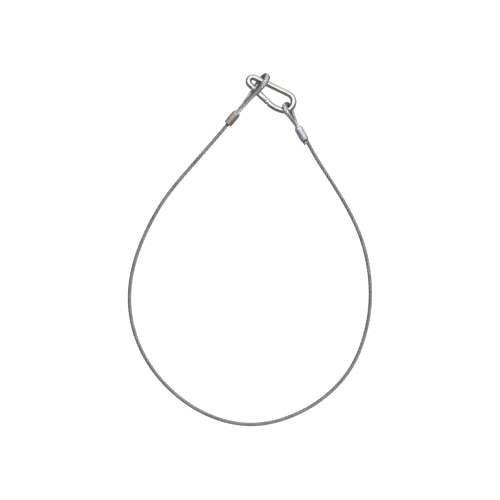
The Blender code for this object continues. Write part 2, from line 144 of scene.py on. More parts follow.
def smooth_curve(route: Array, fineness: int = 400) -> Array:
    """The natural cubic spline through a route's points, sampled finely.

    Args:
        route: the route's points, one a row.
        fineness: how many samples there are for each of them.

    Returns:
        The samples, one a row.
    """
    knots = walked(route)
    steps = np.diff(knots)
    size = len(route)
    system = np.eye(size)
    right = np.zeros_like(route)
    for i in range(1, size - 1):
        system[i, i - 1 : i + 2] = steps[i - 1], 2 * (steps[i - 1] + steps[i]), steps[i]
        right[i] = 6 * ((route[i + 1] - route[i]) / steps[i] - (route[i] - route[i - 1]) / steps[i - 1])
    bends = np.linalg.solve(system, right)
    fine = np.linspace(0.0, knots[-1], fineness * size)
    span = np.clip(np.searchsorted(knots, fine, side="right") - 1, 0, size - 2)
    width = steps[span][:, None]
    after = (fine[:, None] - knots[span][:, None]) / width
    before = 1.0 - after
    curve = before * route[span] + after * route[span + 1]
    return curve + ((before**3 - before) * bends[span] + (after**3 - after) * bends[span + 1]) * width**2 / 6


def walked(points: Array) -> Array:
    """Distance walked along a line at each of its points."""
    return np.concatenate([[0.0], np.cumsum(np.linalg.norm(np.diff(points, axis=0), axis=1))])


def evenly(points: Array, step: float) -> Array:
    """The same line with points an even step apart."""
    along = walked(points)
    even = np.linspace(0.0, along[-1], max(2, round(along[-1] / step) + 1))
    return np.column_stack([np.interp(even, along, points[:, axis]) for axis in range(points.shape[1])])


def carried_frames(path: Array) -> tuple[Array, Array, Array]:
    """Frames carried along a path with no twist of their own.

    Args:
        path: the path's points, one a row.

    Returns:
        The tangents, and two directions square to them, one a row.
    """
    tangents = unit(np.gradient(path, axis=0))
    normals = np.zeros_like(path)
    start = np.array([0.0, 0.0, 1.0]) if abs(tangents[0][2]) < 0.9 else np.array([1.0, 0.0, 0.0])
    normals[0] = unit(start - tangents[0] * (start @ tangents[0]))
    for i in range(1, len(path)):
        carried = normals[i - 1] - tangents[i] * (normals[i - 1] @ tangents[i])
        normals[i] = carried / np.linalg.norm(carried)
    return tangents, normals, np.cross(tangents, normals)


# ---- Modelling helpers ----


def to_scene(name: str, data: bpy.types.ID) -> Object:
    """Puts a new object with its data in the scene.

    Args:
        name: the object's name.
        data: its mesh, curve, lamp or camera.

    Returns:
        The object.
    """
    piece = bpy.data.objects.new(name, data)
    bpy.context.scene.collection.objects.link(piece)
    return piece


def set_inputs(node: Node, values: dict[str, object]) -> None:
    """Sets a node's inputs by their names."""
    for name, value in values.items():
        node.inputs[name].default_value = value


def deselect() -> None:
    """Leaves nothing selected."""
    if bpy.context.object and bpy.context.object.mode != "OBJECT":
        bpy.ops.object.mode_set(mode="OBJECT")
    bpy.ops.object.select_all(action="DESELECT")


def pick(piece: Object) -> None:
    """Selects one piece and makes it the active one."""
    deselect()
    piece.select_set(True)
    bpy.context.view_layer.objects.active = piece


def settle(piece: Object) -> Object:
    """Moves a piece's place into its mesh, so that its object sits at the origin."""
    pick(piece)
    bpy.ops.object.transform_apply(location=True, rotation=True, scale=True)
    return piece


def apply_modifier(piece: Object, kind: str, **settings: object) -> None:
    """Adds a modifier to a piece and applies it.

    Args:
        piece: the piece.
        kind: the modifier's type.
        settings: its settings by name.
    """
    modifier = piece.modifiers.new(kind.lower(), kind)
    for name, value in settings.items():
        setattr(modifier, name, value)
    pick(piece)
    bpy.ops.object.modifier_apply(modifier=modifier.name)


def soften(piece: Object, width: float, segments: int = 2, angle: float = 35.0) -> None:
    """Bevels a piece's sharp edges and shades it smooth."""
    apply_modifier(
        piece, "BEVEL", width=width, segments=segments, limit_method="ANGLE", angle_limit=math.radians(angle),
        harden_normals=False, miter_outer="MITER_ARC",
    )
    smooth(piece)


def smooth(piece: Object, angle: float = 40.0) -> None:
    """Shades a piece smooth, with its sharper edges kept."""
    pick(piece)
    bpy.ops.object.shade_smooth_by_angle(angle=math.radians(angle))


def combine(piece: Object, tool: Object, operation: str) -> None:
    """Joins, cuts or intersects a piece with a tool, which is then removed."""
    apply_modifier(piece, "BOOLEAN", operation=operation, solver="EXACT", object=tool)
    bpy.data.objects.remove(tool, do_unlink=True)


def rod(
    name: str, place: Place, start: Sequence[float], end: Sequence[float], radius: float, sides: int = 48
) -> Object:
    """A round rod between two points of a place.

    Args:
        name: the rod's name.
        place: the frame of its two ends.
        start, end: the ends.
        radius: its radius.
        sides: how many sides it has.

    Returns:
        The rod, with its place in its mesh.
    """
    first, last = (Vector(point) for point in place.world([start, end]))
    deselect()
    bpy.ops.mesh.primitive_cylinder_add(vertices=sides, radius=radius, depth=(last - first).length)
    piece = bpy.context.object
    piece.name = name
    turn = (last - first).to_track_quat("Z", "Y").to_matrix().to_4x4()
    piece.matrix_world = Matrix.Translation((first + last) / 2) @ turn
    return settle(piece)


def block(name: str, place: Place, low: Sequence[float], high: Sequence[float]) -> Object:
    """A box between two corners of a place, with its place in its mesh."""
    low, high = Vector(low), Vector(high)
    deselect()
    bpy.ops.mesh.primitive_cube_add(size=1.0)
    piece = bpy.context.object
    piece.name = name
    piece.matrix_world = place.matrix() @ Matrix.LocRotScale((low + high) / 2, None, high - low)
    return settle(piece)


def plate(name: str, place: Place, outline: Iterable, half: float) -> Object:
    """A flat plate with an outline in a place's plane, pushed out to both sides of it.

    Args:
        name: the plate's name.
        place: the outline's frame.
        outline: its corners, anticlockwise.
        half: half its thickness.

    Returns:
        The plate, with its place in its mesh.
    """
    corners = [(x, y, -half) for x, y in outline]
    mesh = bpy.data.meshes.new(name)
    mesh.from_pydata(corners, [], [range(len(corners))])
    piece = to_scene(name, mesh)
    pick(piece)
    bpy.ops.object.mode_set(mode="EDIT")
    bpy.ops.mesh.select_all(action="SELECT")
    bpy.ops.mesh.extrude_region_move(TRANSFORM_OT_translate={"value": (0.0, 0.0, 2 * half)})
    bpy.ops.mesh.select_all(action="SELECT")
    bpy.ops.mesh.normals_make_consistent(inside=False)
    bpy.ops.object.mode_set(mode="OBJECT")
    piece.matrix_world = place.matrix()
    return settle(piece)


def wire(name: str, points: Array, radius: float, resolution: int = 6) -> Object:
    """A round wire along points, as a closed mesh with filled ends.

    Args:
        name: the wire's name.
        points: its centreline in the world.
        radius: its radius.
        resolution: the curve's bevel resolution.

    Returns:
        The wire.
    """
    curve = bpy.data.curves.new(name, "CURVE")
    curve.dimensions = "3D"
    curve.bevel_depth = radius
    curve.bevel_resolution = resolution
    curve.use_fill_caps = True
    line = curve.splines.new("POLY")
    line.points.add(len(points) - 1)
    for slot, point in zip(line.points, points):
        slot.co = (*point, 1.0)
    piece = to_scene(name, curve)
    pick(piece)
    bpy.ops.object.convert(target="MESH")
    bpy.ops.object.mode_set(mode="EDIT")
    bpy.ops.mesh.select_all(action="SELECT")
    bpy.ops.mesh.remove_doubles(threshold=MERGE_DISTANCE)
    bpy.ops.mesh.normals_make_consistent(inside=False)
    bpy.ops.object.mode_set(mode="OBJECT")
    return piece


def ringed_mesh(name: str, rings: Array, shades: Optional[Array] = None) -> Object:
    """A closed skin over a row of rings, with a fan over each end.

    Args:
        name: the piece's name.
        rings: the rings' points, as rings by points by three.
        shades: how far each point is clear of the painted shade, from 0 to 1, in the same order.

    Returns:
        The piece, shaded smooth.
    """
    count, sides, _ = rings.shape
    points = np.vstack([rings.reshape(-1, 3), rings[0].mean(axis=0), rings[-1].mean(axis=0)])
    row = np.arange(count - 1)[:, None] * sides
    this = np.arange(sides)[None, :]
    after = (this + 1) % sides
    corners = [row + this, row + after, row + sides + after, row + sides + this]
    quads = np.stack(corners, axis=-1).reshape(-1, 4)
    last = (count - 1) * sides
    first_fan = [(count * sides, int(b), int(a)) for a, b in zip(this[0], after[0])]
    last_fan = [(count * sides + 1, int(last + a), int(last + b)) for a, b in zip(this[0], after[0])]
    mesh = bpy.data.meshes.new(name)
    mesh.from_pydata(points, [], quads.tolist() + first_fan + last_fan)
    piece = to_scene(name, mesh)
    if shades is not None:
        # the mask of the painted shade, which the rope's material reads
        layer = mesh.attributes.new("clear_of_painted_shade", "FLOAT", "POINT")
        ends = [shades[0].mean(), shades[-1].mean()]
        layer.data.foreach_set("value", np.concatenate([shades.reshape(-1), ends]).astype(np.float32))
    mesh.shade_smooth()
    return piece


def join(pieces: Sequence[Object], name: str) -> Object:
    """Joins separate bodies into one named piece."""
    deselect()
    for piece in pieces:
        piece.select_set(True)
    bpy.context.view_layer.objects.active = pieces[0]
    bpy.ops.object.join()
    joined = bpy.context.object
    joined.name = name
    joined.data.name = name
    return joined


# ---- Finishes ----


class Grain(Enum):
    """How a metal's fine marks run over it."""

    FROSTED = "frosted"
    DRAWN = "drawn"
    TUMBLED = "tumbled"


GRAIN_STRETCH = {
    Grain.FROSTED: (1.0, 1.0, 1.0), Grain.DRAWN: (0.35, 0.35, 3.0), Grain.TUMBLED: (0.6, 1.4, 1.0),
}
GRAIN_TURN = math.radians(38.0)
CLOUD_DETAIL = 4.0
MARK_DETAIL = 3.0
# the part of a noise's range over which colour and gloss change
COLOUR_SPAN = (0.38, 0.72)
GLOSS_SPAN = (0.3, 0.7)
MARK_STRENGTH = 0.5


@dataclass(frozen=True)
class MetalFinish:
    """A metal surface with cloudy colour, uneven gloss and fine marks.

    Attributes:
        name: the material's name.
        colour: its clean colour.
        dull_colour: its colour where it is stained.
        roughness: its lowest and highest roughness.
        grain: how its marks run.
        cloud: size of its stains, in metres.
        mark: size of its marks, in metres.
        depth: depth of the marks, in metres.
        crevice_shade: for a rope, the dark colour painted as shade deep between its wires and in a ferrule's
            mouth.
    """

    name: str
    colour: Colour
    dull_colour: Colour
    roughness: tuple[float, float]
    grain: Grain = Grain.TUMBLED
    cloud: float = 6 * MM
    mark: float = 0.35 * MM
    depth: float = 0.006 * MM
    crevice_shade: Optional[Colour] = None

    def build(self) -> Material:
        """Makes the material.

        Returns:
            The material, made of procedural nodes on object coordinates.
        """
        finish = bpy.data.materials.new(self.name)
        finish.use_nodes = True
        nodes, links = finish.node_tree.nodes, finish.node_tree.links
        shader = nodes["Principled BSDF"]
        set_inputs(shader, {"Metallic": 1.0})
        where = nodes.new("ShaderNodeTexCoord")
        clouds = self._noise(finish, where.outputs["Object"], 1.0 / self.cloud, CLOUD_DETAIL)
        marks = self._noise(finish, self._marks_space(finish, where), 1.0 / self.mark, MARK_DETAIL)
        colour = self._mix(finish, clouds, self.colour, self.dull_colour)
        # a rope's material paints shade between its wires and in ferrule mouths
        if self.crevice_shade:
            colour = self._paint_crevice_shade(finish, colour)
        links.new(colour, shader.inputs["Base Color"])
        gloss = nodes.new("ShaderNodeMapRange")
        (start, end), (low, high) = GLOSS_SPAN, self.roughness
        set_inputs(gloss, {"From Min": start, "From Max": end, "To Min": low, "To Max": high})
        links.new(marks, gloss.inputs["Value"])
        links.new(gloss.outputs["Result"], shader.inputs["Roughness"])
        bump = nodes.new("ShaderNodeBump")
        set_inputs(bump, {"Strength": MARK_STRENGTH, "Distance": self.depth})
        links.new(marks, bump.inputs["Height"])
        links.new(bump.outputs["Normal"], shader.inputs["Normal"])
        return finish

    def _marks_space(self, finish: Material, where: Node) -> Socket:
        """The coordinates that the marks are drawn in, stretched for a drawn surface."""
        mapping = finish.node_tree.nodes.new("ShaderNodeMapping")
        set_inputs(mapping, {"Scale": GRAIN_STRETCH[self.grain], "Rotation": (0.0, 0.0, GRAIN_TURN)})
        finish.node_tree.links.new(where.outputs["Object"], mapping.inputs["Vector"])
        return mapping.outputs["Vector"]

    @staticmethod
    def _noise(finish: Material, space: Socket, scale: float, detail: float) -> Socket:
        """A noise texture in a space."""
        noise = finish.node_tree.nodes.new("ShaderNodeTexNoise")
        set_inputs(noise, {"Scale": scale, "Detail": detail})
        finish.node_tree.links.new(space, noise.inputs["Vector"])
        return noise.outputs["Fac"]

    @staticmethod
    def _mix(finish: Material, factor: Socket, first: Colour, second: Colour) -> Socket:
        """A ramp from one colour to another."""
        ramp = finish.node_tree.nodes.new("ShaderNodeValToRGB")
        for stop, position, colour in zip(ramp.color_ramp.elements, COLOUR_SPAN, (first, second)):
            stop.position = position
            stop.color = (*colour, 1.0)
        finish.node_tree.links.new(factor, ramp.inputs["Fac"])
        return ramp.outputs["Color"]

    def _paint_crevice_shade(self, finish: Material, colour: Socket) -> Socket:
        """The colour with painted shade: darkened where the rope's own attribute says that it lies deep between
        its wires or in a ferrule's mouth.
        """
        nodes, links = finish.node_tree.nodes, finish.node_tree.links
        clear_of_painted_shade = nodes.new("ShaderNodeAttribute")
        clear_of_painted_shade.attribute_name = "clear_of_painted_shade"
        mix = nodes.new("ShaderNodeMix")
        mix.data_type = "RGBA"
        set_inputs(mix, {"A": (*self.crevice_shade, 1.0)})
        links.new(clear_of_painted_shade.outputs["Fac"], mix.inputs["Factor"])
        links.new(colour, mix.inputs["B"])
        return mix.outputs["Result"]


FINISHES = {
    finish.name: finish
    for finish in (
        # the strands' darkest colours are painted shade between their wires and in ferrule mouths
        MetalFinish("galvanised_strand", (0.40, 0.40, 0.40), (0.29, 0.29, 0.295), (0.36, 0.52), Grain.FROSTED,
                    cloud=9 * MM, mark=0.2 * MM, depth=0.004 * MM, crevice_shade=(0.025, 0.025, 0.027)),
        # the same galvanised strand painted lighter for the eyes' rope and the cut end: painted light, lifting
        # rope that stands in less light than the free run
        MetalFinish("strand_painted_lighter", (0.86, 0.86, 0.86), (0.66, 0.66, 0.665), (0.32, 0.48), Grain.FROSTED,
                    cloud=9 * MM, mark=0.2 * MM, depth=0.004 * MM, crevice_shade=(0.02, 0.02, 0.022)),
        MetalFinish("bright_zinc_thimble", (0.33, 0.365, 0.40), (0.24, 0.27, 0.30), (0.26, 0.40)),
        MetalFinish("pressed_alloy_warm", (0.43, 0.385, 0.355), (0.35, 0.31, 0.28), (0.46, 0.62), Grain.DRAWN,
                    mark=0.5 * MM, depth=0.02 * MM),
        MetalFinish("pressed_alloy_cool", (0.56, 0.56, 0.60), (0.48, 0.48, 0.52), (0.36, 0.52), Grain.DRAWN,
                    mark=0.5 * MM, depth=0.02 * MM),
        MetalFinish("polished_zinc_hook", (0.47, 0.475, 0.45), (0.37, 0.37, 0.335), (0.20, 0.30),
                    cloud=11 * MM),
        MetalFinish("polished_zinc_gate", (0.52, 0.52, 0.49), (0.42, 0.42, 0.38), (0.22, 0.34), Grain.DRAWN,
                    mark=0.25 * MM),
        MetalFinish("plain_pin_steel", (0.34, 0.34, 0.34), (0.24, 0.23, 0.22), (0.25, 0.42), Grain.FROSTED),
        MetalFinish("oiled_spring_wire", (0.28, 0.28, 0.30), (0.2, 0.2, 0.22), (0.2, 0.35), Grain.FROSTED),
    )
}


class Wardrobe:
    """Builds each finish once and dresses pieces in it."""

    def __init__(self) -> None:
        """Starts with no material built."""
        self.built: dict[str, Material] = {}

    def dress(self, piece: Object, finish: str) -> Object:
        """Gives a piece one finish, in place of any that it has."""
        if finish not in self.built:
            self.built[finish] = FINISHES[finish].build()
        piece.data.materials.clear()
        piece.data.materials.append(self.built[finish])
        return piece


# ---- Sizes that the CAD and this script share ----


@dataclass(frozen=True)
class EyePlan:
    """Where one thimble eye lies and how large it is.

    Attributes:
        side: left or right.
        mouth: where its ferrule's mouth is on the floor's plane.
        heading: the way from the mouth to the crown, in radians from +X.
        length: from the mouth to the rope's crown.
        crown_radius: the crown's radius on the rope's centreline.
        turn: how far the eye leans about its own axis.
        mouth_turn: how far the live and cut ropes are turned about that axis in the mouth.
    """

    side: str
    mouth: tuple[float, float]
    heading: float
    length: float
    crown_radius: float
    turn: float
    mouth_turn: float


@dataclass(frozen=True)
class SlingSizes:
    """Sizes of the rope, ferrules and thimbles.

    Attributes:
        tip_bend, more_bend: how far the thimble's channel goes round the rope on each side at its tips, and
            how much more it goes at the crown, in degrees.
        open_from: how far past the start of the eye's rope the thimble lines it wherever it runs.
        taper_share: the part of the thimble's length, from each tip, over which its sides grow.
        leg_handles: the handles of a leg's curve, as parts of the straight distance between its ends.
        eye_depth: how far the eye's rope goes on past its start, towards the inside of the ferrule.
        free_depth, tail_depth: how far the free rope and the cut end go into a ferrule.
        crown_lift: how far the crown would be off the floor if the eye stood upright on it.
    """

    rope_radius: float = 2.0 * MM
    rope_height: float = 2.02 * MM
    mouth_gap: float = 0.7 * MM
    middle: tuple[float, float] = (-0.23 * MM, -1.39 * MM)
    ferrule_length: float = 16.0 * MM
    ferrule_radius: float = 4.5 * MM
    ferrule_drop: float = 0.02 * MM
    leg_offset: float = 2.15 * MM
    leg_slope: float = math.radians(14.0)
    tail_length: float = 4.0 * MM
    gap: float = 0.3 * MM
    thimble_wall: float = 0.65 * MM
    thimble_flange: float = 1.0 * MM
    thimble_tip_space: float = 0.5 * MM
    tip_bend: float = 52.0
    more_bend: float = 38.0
    open_from: float = 15 * MM
    taper_share: float = 0.46
    leg_handles: tuple[float, float] = (0.35, 0.5)
    eye_depth: float = 1.2 * MM
    free_depth: float = 0.9 * MM
    tail_depth: float = 1.0 * MM
    crown_lift: float = 0.3 * MM


@dataclass(frozen=True)
class PressMarks:
    """What the press leaves on a ferrule.

    Attributes:
        rings: start, end and number of the mesh's rings in three stretches along it, in millimetres.
        mouth, mouth_run: how far the mouth is rounded in, and over what length.
        taper, taper_run: the same at the end towards the eye.
        barrel: how much fatter the middle is.
        flash, flash_width: height of its two flash lines, and half their width as a sine.
        ridge, ridge_pitch: height and spacing of its fine ridges.
        undersize: how much smaller than in CAD it is before these.
    """

    rings: tuple = ((0.3, 2.0, 6), (3.0, 12.0, 8), (12.8, 15.7, 9))
    mouth: float = 0.55 * MM
    mouth_run: float = 1.1 * MM
    taper: float = 1.0 * MM
    taper_run: float = 3.2 * MM
    barrel: float = 0.10 * MM
    flash: float = 0.16 * MM
    flash_width: float = 0.09
    ridge: float = 0.035 * MM
    ridge_pitch: float = 1.9 * MM
    undersize: float = 0.08 * MM


LEFT_EYE = EyePlan(
    "left", (-41.4 * MM, -16.8 * MM), math.radians(50.2), 68.7 * MM, 10.9 * MM, turn=math.radians(16.0),
    mouth_turn=0.0,
)
RIGHT_EYE = EyePlan(
    "right", (40.5 * MM, -33.8 * MM), math.radians(119.2), 45.8 * MM, 8.4 * MM, turn=math.radians(-20.0),
    mouth_turn=math.radians(-45.0),
)

# the free rope's route on the floor, from the left ferrule to the right one, in millimetres
ROUTE_MM = (
    (-52.4, -29.8), (-67.2, -46.8), (-82.1, -63.8), (-109.5, -97.9), (-128.5, -131.9), (-141.1, -166.0),
    (-145.9, -200.0), (-141.7, -234.1), (-127.3, -268.1), (-98.8, -302.2), (-64.1, -325.0), (-13.0, -335.9),
    (21.0, -329.0), (55.1, -311.4), (88.9, -276.6), (103.7, -242.6), (109.8, -208.5), (108.8, -174.5),
    (101.1, -140.4), (85.9, -106.4), (65.3, -72.4), (50.0, -48.0),
)


# ---- Rope ----


@dataclass
class RopeLay:
    """How a wire rope is laid up: six strands round a core, each of six wires round a seventh.

    Attributes:
        radius: the rope's radius.
        strands: how many strands it has.
        wires: how many outer wires a strand has.
        lay: length in which a strand goes once round, right-handed.
        strand_lay: length in which a wire goes once round its strand, left-handed.
        step: distance between the rings of a strand's mesh.
        wire_points: how many points a ring has for each wire.
        painted_mouth_shade: how far painted shade goes from a rope's end in a ferrule; it fades over half as
            much again.
        deep, deep_span: up to what part of its radius the painted shade between the wires is full, and over what
            part it then fades.
    """

    radius: float
    strands: int = 6
    wires: int = 6
    lay: float = 26.0 * MM
    strand_lay: float = 13.0 * MM
    step: float = 0.62 * MM
    wire_points: int = 4
    painted_mouth_shade: float = 1.8 * MM
    deep: float = 0.55
    deep_span: float = 0.4

    @property
    def strand_radius(self) -> float:
        """Radius of one strand, a third of the rope's."""
        return self.radius / 3.0

    def outline(self) -> tuple[Array, Array]:
        """Section of a strand: the outside of its wires.

        Returns:
            The angle and the radius of each point.
        """
        wire_radius = self.strand_radius / 3.0
        half = math.pi / self.wires
        shifts = np.arange(self.wire_points) / self.wire_points * 2 * half - half
        reach = 2 * wire_radius * np.cos(shifts)
        reach = reach + np.sqrt(np.maximum(wire_radius**2 - (2 * wire_radius * np.sin(shifts)) ** 2, 0.0))
        angles = (np.arange(self.wires)[:, None] * 2 * half + shifts[None, :]).reshape(-1)
        return angles, np.tile(reach, self.wires)

    def strand(
        self, name: str, path: Array, index: Optional[int], mouths: tuple[bool, bool] = (False, False)
    ) -> Object:
        """One strand laid round a path, or the straight core strand.

        Args:
            name: the strand's name.
            path: the rope's centreline, with points an even step apart.
            index: which strand it is, or None for the core.
            mouths: whether the path's start and its end are in a ferrule's mouth, where the rope gets painted
                shade.

        Returns:
            The strand.
        """
        along = walked(path)
        tangents, first, second = carried_frames(path)
        spin = 2 * math.pi * along / self.lay
        if index is not None:
            spin = spin + 2 * math.pi * index / self.strands
        outward = first * np.cos(spin)[:, None] + second * np.sin(spin)[:, None]
        reach = 0.0 if index is None else self.radius - self.strand_radius
        middles = path + outward * reach
        heading = tangents if index is None else unit(np.gradient(middles, axis=0))
        sideways = unit(np.cross(heading, outward))
        upward = np.cross(sideways, heading)
        angles, radii = self.outline()
        wound = angles[None, :] - (2 * math.pi * along / self.strand_lay)[:, None]
        rings = middles[:, None, :] + radii[None, :, None] * (
            upward[:, None, :] * np.cos(wound)[:, :, None] + sideways[:, None, :] * np.sin(wound)[:, :, None]
        )
        # painted shade: full deep between the wires, fading out towards the wires' tops
        distance = np.linalg.norm(rings - path[:, None, :], axis=2)
        clear_of_painted_shade = np.clip((distance / self.radius - self.deep) / self.deep_span, 0.0, 1.0)
        # painted shade where the rope goes into a ferrule's mouth
        for in_mouth, from_end in zip(mouths, (along, along[-1] - along)):
            if in_mouth:
                clear_of_painted_shade = clear_of_painted_shade * np.clip((from_end - self.painted_mouth_shade) / (0.5 * self.painted_mouth_shade), 0.0, 1.0)[:, None]
        return ringed_mesh(name, rings, clear_of_painted_shade)

    def whole(self, name: str, path: Array, mouths: tuple[bool, bool] = (False, False)) -> Object:
        """A short rope as one piece, all its strands and its core."""
        even = evenly(path, self.step)
        strands = [self.strand(f"{name}_{k}", even, k, mouths) for k in range(self.strands)]
        strands.append(self.strand(f"{name}_core", even, None, mouths))
        return join(strands, name)


# ---- Sub-assemblies ----


@dataclass
class ThimbleEye:
    """A thimble eye: the thimble, the rope round it, the ferrule, and the cut end if it shows.

    Attributes:
        plan: where the eye lies and how large it is.
        sizes: sizes it shares with the other eye.
        wardrobe: where its finishes come from.
        ferrule_finish: the ferrule's finish.
        has_tail: whether a cut rope end sticks out of its mouth.
    """

    plan: EyePlan
    sizes: SlingSizes
    wardrobe: Wardrobe
    ferrule_finish: str
    has_tail: bool = False
    place: Place = field(init=False)

    def __post_init__(self) -> None:
        """Works out the eye's frame from its plan."""
        self.place = self._frame()

    def _frame(self) -> Place:
        """The eye's frame: from the ferrule's mouth to the crown, and up across the eye."""
        plan, sizes = self.plan, self.sizes
        half = plan.crown_radius + sizes.rope_radius
        rise = math.asin((half - sizes.ferrule_radius + sizes.crown_lift) / (plan.length - half))
        flat = math.cos(rise)
        along = np.array([math.cos(plan.heading) * flat, math.sin(plan.heading) * flat, math.sin(rise)])
        side = unit(np.cross(along, (0.0, 0.0, 1.0)))
        up = np.cross(side, along)
        across = up * math.cos(plan.turn) + side * math.sin(plan.turn)
        height = sizes.ferrule_radius * flat + sizes.ferrule_drop
        origin = np.array([plan.mouth[0] - sizes.middle[0], plan.mouth[1] - sizes.middle[1], height])
        return Place(origin, along, across, np.cross(along, across))

    @property
    def crown_middle(self) -> float:
        """How far the middle of the crown's arc is from the mouth."""
        return self.plan.length - self.plan.crown_radius - self.sizes.rope_radius

    def centreline(self, into_ferrule: float = 0.0) -> Array:
        """The rope's centreline round the eye, in the eye's plane.

        Args:
            into_ferrule: how far both legs go on into the ferrule.

        Returns:
            One point a row, from the upper leg round the crown to the lower one.
        """
        sizes, radius, slope = self.sizes, self.plan.crown_radius, self.sizes.leg_slope
        start = np.array([sizes.ferrule_length + sizes.gap, sizes.leg_offset])
        end = np.array([self.crown_middle - radius * math.sin(slope), radius * math.cos(slope)])
        reach = np.linalg.norm(end - start)
        near, far = sizes.leg_handles
        first = start + np.array([near * reach, 0.0])
        second = end - np.array([math.cos(slope), math.sin(slope)]) * far * reach
        t = np.linspace(0.0, 1.0, 80)[:, None]
        leg = start * (1 - t) ** 3 + first * 3 * (1 - t) ** 2 * t + second * 3 * (1 - t) * t**2 + end * t**3
        top = math.pi / 2 + slope
        crown = arc((self.crown_middle, 0.0), radius, top, -top, 0.3 * MM)
        inside = np.array([[start[0] - into_ferrule, start[1]]]) if into_ferrule else np.empty((0, 2))
        upper = np.vstack([inside, leg[:-1]])
        return np.vstack([upper, crown, upper[::-1] * (1.0, -1.0)])

    def build(self) -> None:
        """Builds the eye's pieces."""
        self._rope()
        self._thimble()
        self._ferrule()
        if self.has_tail:
            self._tail()

    def _rope(self) -> None:
        """The rope round the thimble."""
        name = f"eye_rope_{self.plan.side}"
        flat = self.centreline(into_ferrule=self.sizes.eye_depth)
        path = self.place.world(np.column_stack([flat, np.zeros(len(flat))]))
        piece = RopeLay(self.sizes.rope_radius).whole(f"{name}_laid", path)
        # the eye's rope wears the strand painted lighter than the free run: painted light
        finish_piece(piece, "sling", self.wardrobe, "strand_painted_lighter", name)

    def _thimble(self) -> None:
        """The thimble: a channel whose sides shrink towards its two pointed ends."""
        sizes = self.sizes
        name = f"thimble_{self.plan.side}"
        least = sizes.rope_radius + sizes.gap + sizes.thimble_wall + sizes.thimble_tip_space
        flat = evenly(self.centreline(), 0.6 * MM)
        lined = (np.abs(flat[:, 1]) > least) | (flat[:, 0] > flat[0][0] + sizes.open_from)
        path = flat[lined]
        along = walked(path)
        to_end = np.minimum(along, along[-1] - along)
        open_side = np.clip(to_end / (sizes.taper_share * along[-1]), 0.0, 1.0)
        open_side = open_side**2 * (3.0 - 2.0 * open_side)
        tangents = unit(np.gradient(path, axis=0))
        inward = np.column_stack([tangents[:, 1], -tangents[:, 0]])
        mid = sizes.rope_radius + sizes.gap + sizes.thimble_wall / 2
        across = 19
        fan = np.linspace(-1.0, 1.0, across)
        rows = []
        for point, into, width in zip(path, inward, open_side):
            bend = math.radians(sizes.tip_bend + sizes.more_bend * width)
            lip = sizes.thimble_flange * width
            rows.append(self._channel_row(point, into, fan, bend, mid, lip))
        points = self.place.world(np.concatenate(rows)).reshape(len(path), across, 3)
        piece = grid_piece(f"{name}_channel", points)
        apply_modifier(piece, "SOLIDIFY", thickness=sizes.thimble_wall, offset=0.0, use_even_offset=True)
        soften(piece, 0.3 * MM, 3, 50.0)
        finish_piece(piece, "sling", self.wardrobe, "bright_zinc_thimble", name)

    @staticmethod
    def _channel_row(point: Array, into: Array, fan: Array, bend: float, mid: float, lip: float) -> Array:
        """One row of the channel's middle surface.

        Args:
            point: where the row is on the rope's centreline, in the eye's plane.
            into: the way to the eye's inside.
            fan: places across the row, from -1 to 1.
            bend: how far round the rope the curved floor goes on each side, in radians.
            mid: the floor's radius.
            lip: length of the straight side beyond the floor.

        Returns:
            The row's points in the eye's frame.
        """
        curved = mid * bend
        run = fan * (curved + lip)
        angle = np.clip(run / mid, -bend, bend)
        extra = np.abs(run) - curved
        straight = np.where(extra > 0.0, extra, 0.0)
        inward = mid * np.cos(angle) - straight * math.sin(bend)
        upward = mid * np.sin(angle) + np.sign(run) * straight * math.cos(bend)
        return np.column_stack([point[0] + into[0] * inward, point[1] + into[1] * inward, upward])

    def _ferrule(self) -> None:
        """The pressed sleeve: a cylinder with rounded ends, a taper and the press's two flash lines."""
        sizes = self.sizes
        name = f"ferrule_{self.plan.side}"
        length, radius = sizes.ferrule_length, sizes.ferrule_radius
        deselect()
        middle = (0, 0, length / 2)
        bpy.ops.mesh.primitive_cylinder_add(vertices=64, radius=radius, depth=length, location=middle)
        piece = bpy.context.object
        piece.name = f"{name}_sleeve"
        bpy.ops.object.transform_apply(location=True)
        bpy.ops.object.mode_set(mode="EDIT")
        stations = np.concatenate([np.linspace(*run) for run in PressMarks.rings])
        for station in stations * MM:
            bpy.ops.mesh.select_all(action="SELECT")
            bpy.ops.mesh.bisect(plane_co=(0, 0, station), plane_no=(0, 0, 1))
        bpy.ops.object.mode_set(mode="OBJECT")
        self._press(piece)
        turn = Matrix(((0, 0, 1, 0), (1, 0, 0, 0), (0, 1, 0, 0), (0, 0, 0, 1)))
        piece.matrix_world = self.place.matrix() @ turn
        settle(piece)
        soften(piece, 0.25 * MM, 3, 50.0)
        finish_piece(piece, "sling", self.wardrobe, self.ferrule_finish, name)

    def _press(self, piece: Object) -> None:
        """Shapes a plain cylinder along +Z as the press leaves a ferrule."""
        length, radius = self.sizes.ferrule_length, self.sizes.ferrule_radius
        marks = PressMarks()
        for vertex in piece.data.vertices:
            x, y, z = vertex.co
            reach = math.hypot(x, y)
            if reach < 0.5 * radius:
                continue
            angle = math.atan2(y, x)
            swell = math.sin(math.pi * z / length)
            mouth = marks.mouth * max(0.0, 1.0 - z / marks.mouth_run) ** 2
            taper = marks.taper * max(0.0, (z - (length - marks.taper_run)) / marks.taper_run) ** 2
            barrel = marks.barrel * swell
            flash = marks.flash * math.exp(-((math.sin(angle) / marks.flash_width) ** 2))
            flash = flash * max(0.0, swell) ** 0.3
            ridges = marks.ridge * math.sin(2 * math.pi * z / marks.ridge_pitch) * swell
            scale = (radius - mouth - taper + barrel + flash + ridges - marks.undersize) / reach
            vertex.co.x, vertex.co.y = x * scale, y * scale

